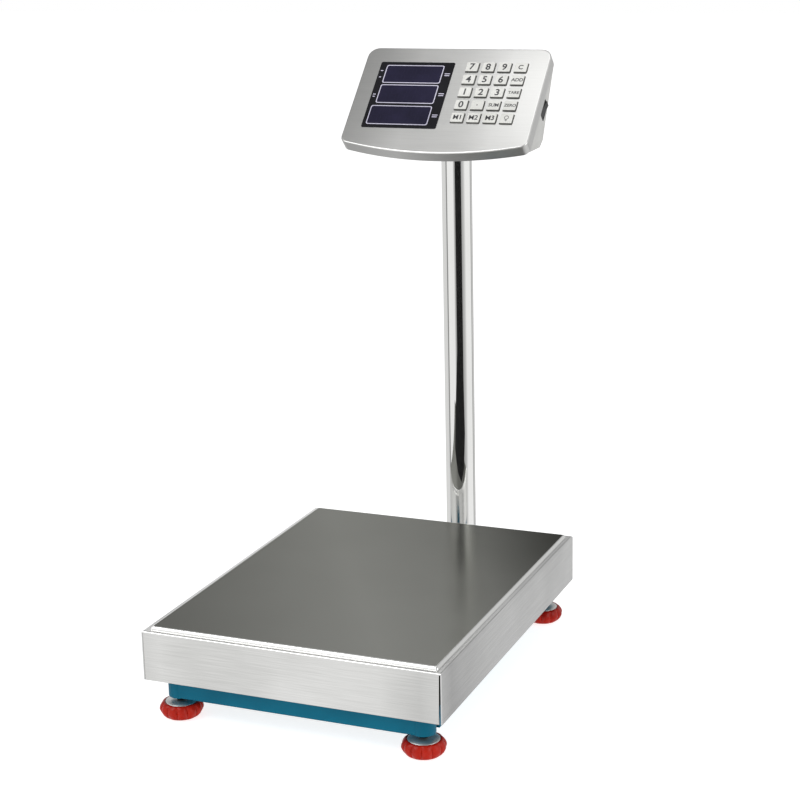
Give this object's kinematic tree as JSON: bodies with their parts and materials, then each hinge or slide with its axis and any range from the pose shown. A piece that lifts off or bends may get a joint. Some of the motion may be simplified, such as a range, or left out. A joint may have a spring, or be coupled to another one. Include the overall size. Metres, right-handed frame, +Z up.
{
  "type": "bench scale",
  "caption": "Platform bench scale: stainless pan on a load cell and blue steel frame with red levelling feet, polished column, tilting head with display and keypad.",
  "frame": {"origin": "on the floor, under the middle of the whole scale's footprint", "axes": "+X to the operator's right, +Y towards the column at the back, +Z up"},
  "size_m": [0.35, 0.558, 0.6876],
  "materials": {
    "pan_steel": "brushed stainless",
    "frame_blue": "gloss teal-blue enamel",
    "knob_red": "moulded red",
    "zinc_steel": "zinc plated",
    "column_chrome": "mirror polished tube",
    "cell_aluminium": "milled",
    "rubber_black": "matte",
    "face_steel": "brushed stainless",
    "housing_silver": "silver painted",
    "window_black": "black acrylic",
    "display_dark": "dark navy",
    "board_green": "solder mask",
    "battery_grey": "matte",
    "key_ivory": "pale ivory-silver",
    "black_plastic": "satin black",
    "cable_black": "matte sheath"
  },
  "bodies": {
    "base": {"end_rails": "frame_blue", "side_rails": "frame_blue", "corner_bosses": "frame_blue", "cross_beam": "frame_blue", "cell_spacer": "zinc_steel", "cell_base_bolts": "zinc_steel", "load_cell": "cell_aluminium", "overload_stops": "zinc_steel", "column_bracket": "frame_blue", "column_bolts": "zinc_steel", "column": "column_chrome", "head_yoke": "zinc_steel", "signal_cable": "cable_black"},
    "load_frame": {"load_beam": "frame_blue", "load_arms": "frame_blue", "cell_top_bolts": "zinc_steel", "rubber_pads": "rubber_black"},
    "pan": {"pan": "pan_steel"},
    "front_left_foot_slider": {"front_left_foot_dish": "zinc_steel"},
    "front_left_foot": {"front_left_foot_knob": "knob_red", "front_left_foot_stud": "zinc_steel"},
    "front_right_foot_slider": {"front_right_foot_dish": "zinc_steel"},
    "front_right_foot": {"front_right_foot_knob": "knob_red", "front_right_foot_stud": "zinc_steel"},
    "rear_left_foot_slider": {"rear_left_foot_dish": "zinc_steel"},
    "rear_left_foot": {"rear_left_foot_knob": "knob_red", "rear_left_foot_stud": "zinc_steel"},
    "rear_right_foot_slider": {"rear_right_foot_dish": "zinc_steel"},
    "rear_right_foot": {"rear_right_foot_knob": "knob_red", "rear_right_foot_stud": "zinc_steel"},
    "head": {"front_panel": "face_steel", "rear_housing": "housing_silver", "display_window": "window_black", "display_modules": "display_dark", "main_board": "board_green", "battery": "battery_grey", "charging_inlet": "black_plastic", "housing_screws": "zinc_steel", "pivot_knobs": "black_plastic"},
    "rocker": {"switch_rocker": "black_plastic"},
    "key_7_body": {"key_7": "key_ivory"},
    "key_8_body": {"key_8": "key_ivory"},
    "key_9_body": {"key_9": "key_ivory"},
    "key_clear_body": {"key_clear": "key_ivory"},
    "key_4_body": {"key_4": "key_ivory"},
    "key_5_body": {"key_5": "key_ivory"},
    "key_6_body": {"key_6": "key_ivory"},
    "key_add_body": {"key_add": "key_ivory"},
    "key_1_body": {"key_1": "key_ivory"},
    "key_2_body": {"key_2": "key_ivory"},
    "key_3_body": {"key_3": "key_ivory"},
    "key_tare_body": {"key_tare": "key_ivory"},
    "key_0_body": {"key_0": "key_ivory"},
    "key_point_body": {"key_point": "key_ivory"},
    "key_total_body": {"key_total": "key_ivory"},
    "key_zero_body": {"key_zero": "key_ivory"},
    "key_memory_1_body": {"key_memory_1": "key_ivory"},
    "key_memory_2_body": {"key_memory_2": "key_ivory"},
    "key_memory_3_body": {"key_memory_3": "key_ivory"},
    "key_lamp_body": {"key_lamp": "key_ivory"}
  },
  "joints": [
    {"name": "load_frame_sag", "type": "slide", "parent": "base", "child": "load_frame", "axis": [0, 0, -1], "range_m": [0, 0.0006], "stiffness_N_per_m": 150000, "springref_m": -0.0006, "deforming": ["load_cell"]},
    {"name": "pan_lift_off", "type": "slide", "parent": "load_frame", "child": "pan", "axis": [0, 0, 1], "range_m": [0, 0.12]},
    {"name": "front_left_foot_travel", "type": "slide", "parent": "base", "child": "front_left_foot_slider", "axis": [0, 0, -1], "range_m": [0, 0.0113]},
    {"name": "front_left_foot_turn", "type": "hinge", "parent": "front_left_foot_slider", "child": "front_left_foot", "pos_m": [-0.144, -0.254, 0], "axis": [0, 0, 1], "range_deg": [0, 2700]},
    {"name": "front_right_foot_travel", "type": "slide", "parent": "base", "child": "front_right_foot_slider", "axis": [0, 0, -1], "range_m": [0, 0.0113]},
    {"name": "front_right_foot_turn", "type": "hinge", "parent": "front_right_foot_slider", "child": "front_right_foot", "pos_m": [0.144, -0.254, 0], "axis": [0, 0, 1], "range_deg": [0, 2700]},
    {"name": "rear_left_foot_travel", "type": "slide", "parent": "base", "child": "rear_left_foot_slider", "axis": [0, 0, -1], "range_m": [0, 0.0113]},
    {"name": "rear_left_foot_turn", "type": "hinge", "parent": "rear_left_foot_slider", "child": "rear_left_foot", "pos_m": [-0.144, 0.146, 0], "axis": [0, 0, 1], "range_deg": [0, 2700]},
    {"name": "rear_right_foot_travel", "type": "slide", "parent": "base", "child": "rear_right_foot_slider", "axis": [0, 0, -1], "range_m": [0, 0.0113]},
    {"name": "rear_right_foot_turn", "type": "hinge", "parent": "rear_right_foot_slider", "child": "rear_right_foot", "pos_m": [0.144, 0.146, 0], "axis": [0, 0, 1], "range_deg": [0, 2700]},
    {"name": "head_tilt", "type": "hinge", "parent": "base", "child": "head", "pos_m": [0, 0.246, 0.588], "axis": [1, 0, 0], "range_deg": [-15, 15]},
    {"name": "power_rocker", "type": "hinge", "parent": "head", "child": "rocker", "pos_m": [0.11675, 0.23406, 0.61744], "axis": [0, -0.7108, 0.7034], "range_deg": [0, 10]},
    {"name": "key_7_press", "type": "slide", "parent": "head", "child": "key_7_body", "axis": [0, 0.7108, -0.7034], "range_m": [0, 0.0012], "stiffness_N_per_m": 600, "springref_m": -0.0003},
    {"name": "key_8_press", "type": "slide", "parent": "head", "child": "key_8_body", "axis": [0, 0.7108, -0.7034], "range_m": [0, 0.0012], "stiffness_N_per_m": 600, "springref_m": -0.0003},
    {"name": "key_9_press", "type": "slide", "parent": "head", "child": "key_9_body", "axis": [0, 0.7108, -0.7034], "range_m": [0, 0.0012], "stiffness_N_per_m": 600, "springref_m": -0.0003},
    {"name": "key_clear_press", "type": "slide", "parent": "head", "child": "key_clear_body", "axis": [0, 0.7108, -0.7034], "range_m": [0, 0.0012], "stiffness_N_per_m": 600, "springref_m": -0.0003},
    {"name": "key_4_press", "type": "slide", "parent": "head", "child": "key_4_body", "axis": [0, 0.7108, -0.7034], "range_m": [0, 0.0012], "stiffness_N_per_m": 600, "springref_m": -0.0003},
    {"name": "key_5_press", "type": "slide", "parent": "head", "child": "key_5_body", "axis": [0, 0.7108, -0.7034], "range_m": [0, 0.0012], "stiffness_N_per_m": 600, "springref_m": -0.0003},
    {"name": "key_6_press", "type": "slide", "parent": "head", "child": "key_6_body", "axis": [0, 0.7108, -0.7034], "range_m": [0, 0.0012], "stiffness_N_per_m": 600, "springref_m": -0.0003},
    {"name": "key_add_press", "type": "slide", "parent": "head", "child": "key_add_body", "axis": [0, 0.7108, -0.7034], "range_m": [0, 0.0012], "stiffness_N_per_m": 600, "springref_m": -0.0003},
    {"name": "key_1_press", "type": "slide", "parent": "head", "child": "key_1_body", "axis": [0, 0.7108, -0.7034], "range_m": [0, 0.0012], "stiffness_N_per_m": 600, "springref_m": -0.0003},
    {"name": "key_2_press", "type": "slide", "parent": "head", "child": "key_2_body", "axis": [0, 0.7108, -0.7034], "range_m": [0, 0.0012], "stiffness_N_per_m": 600, "springref_m": -0.0003},
    {"name": "key_3_press", "type": "slide", "parent": "head", "child": "key_3_body", "axis": [0, 0.7108, -0.7034], "range_m": [0, 0.0012], "stiffness_N_per_m": 600, "springref_m": -0.0003},
    {"name": "key_tare_press", "type": "slide", "parent": "head", "child": "key_tare_body", "axis": [0, 0.7108, -0.7034], "range_m": [0, 0.0012], "stiffness_N_per_m": 600, "springref_m": -0.0003},
    {"name": "key_0_press", "type": "slide", "parent": "head", "child": "key_0_body", "axis": [0, 0.7108, -0.7034], "range_m": [0, 0.0012], "stiffness_N_per_m": 600, "springref_m": -0.0003},
    {"name": "key_point_press", "type": "slide", "parent": "head", "child": "key_point_body", "axis": [0, 0.7108, -0.7034], "range_m": [0, 0.0012], "stiffness_N_per_m": 600, "springref_m": -0.0003},
    {"name": "key_total_press", "type": "slide", "parent": "head", "child": "key_total_body", "axis": [0, 0.7108, -0.7034], "range_m": [0, 0.0012], "stiffness_N_per_m": 600, "springref_m": -0.0003},
    {"name": "key_zero_press", "type": "slide", "parent": "head", "child": "key_zero_body", "axis": [0, 0.7108, -0.7034], "range_m": [0, 0.0012], "stiffness_N_per_m": 600, "springref_m": -0.0003},
    {"name": "key_memory_1_press", "type": "slide", "parent": "head", "child": "key_memory_1_body", "axis": [0, 0.7108, -0.7034], "range_m": [0, 0.0012], "stiffness_N_per_m": 600, "springref_m": -0.0003},
    {"name": "key_memory_2_press", "type": "slide", "parent": "head", "child": "key_memory_2_body", "axis": [0, 0.7108, -0.7034], "range_m": [0, 0.0012], "stiffness_N_per_m": 600, "springref_m": -0.0003},
    {"name": "key_memory_3_press", "type": "slide", "parent": "head", "child": "key_memory_3_body", "axis": [0, 0.7108, -0.7034], "range_m": [0, 0.0012], "stiffness_N_per_m": 600, "springref_m": -0.0003},
    {"name": "key_lamp_press", "type": "slide", "parent": "head", "child": "key_lamp_body", "axis": [0, 0.7108, -0.7034], "range_m": [0, 0.0012], "stiffness_N_per_m": 600, "springref_m": -0.0003}
  ],
  "couplings": [
    {"joint": "front_left_foot_travel", "follows": "front_left_foot_turn", "m_per_rad": 0.00023873},
    {"joint": "front_right_foot_travel", "follows": "front_right_foot_turn", "m_per_rad": 0.00023873},
    {"joint": "rear_left_foot_travel", "follows": "rear_left_foot_turn", "m_per_rad": 0.00023873},
    {"joint": "rear_right_foot_travel", "follows": "rear_right_foot_turn", "m_per_rad": 0.00023873}
  ]
}
